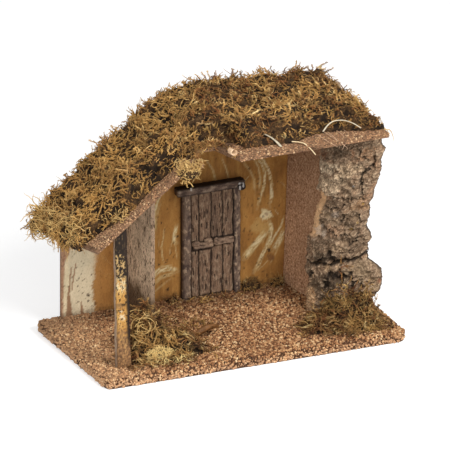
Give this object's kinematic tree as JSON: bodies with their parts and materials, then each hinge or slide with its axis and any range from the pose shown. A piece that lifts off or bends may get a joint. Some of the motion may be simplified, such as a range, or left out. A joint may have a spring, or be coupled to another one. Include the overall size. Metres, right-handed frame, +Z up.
{
  "type": "nativity stable",
  "caption": "Free-standing wooden nativity stable: a granulate-covered base with a room and a lean-to under a mossy roof, a relief door, a stick post and a cork bark column.",
  "frame": {"origin": "Centre of the underside of the base, on the surface that the stable stands on.", "axes": "+X runs to the right along the length of the base, from the lean-to to the bark column; +Y runs from the open front to the back wall; +Z is up."},
  "size_m": [0.3617, 0.188, 0.2667],
  "materials": {
    "board_core": "raw fibreboard, seen only on its underside",
    "cork_granulate": "matte reddish-tan cork grains glued on",
    "painted_wall": "ochre paint with loose cream brush strokes and dark flecks, matte",
    "raw_fibreboard": "unpainted grey-brown fibreboard with wavy upright streaks",
    "split_stick": "weathered stick with a mottled black, cream and orange-yellow face",
    "roof_board": "board with fine pinkish granulate along its edge",
    "stained_relief": "dark brown stain over carved grain, worn grey-brown on its high places",
    "cork_bark": "rough grey-brown virgin cork bark with deep fissures and pale cut edges",
    "dried_moss": "curly dried moss, brown to olive with yellow tips",
    "pale_moss": "pale straw-yellow dried moss",
    "straw": "pale dry straw and wood shaving, slightly silky",
    "pin_steel": "plain bright steel"
  },
  "bodies": {
    "root": {"base_board": "board_core", "ground_cover": "cork_granulate", "back_wall": "painted_wall", "partition_wall": "raw_fibreboard", "right_wall": "raw_fibreboard", "front_post": "split_stick", "roof_panel_left": "roof_board", "roof_panel_right": "roof_board", "door_relief": "stained_relief", "bark_column_upper": "cork_bark", "bark_column_foot": "cork_bark", "moss_roof_left": "dried_moss", "moss_roof_right": "dried_moss", "moss_ridge_tuft": "pale_moss", "moss_post_foot": "dried_moss", "moss_column_foot": "dried_moss", "moss_wall_foot": "dried_moss", "straw_flat": "straw", "straw_hooked": "straw", "straw_arched": "straw", "wood_curl": "straw", "pins_base": "pin_steel", "pins_roof_left": "pin_steel", "pins_roof_right": "pin_steel"}
  },
  "joints": []
}
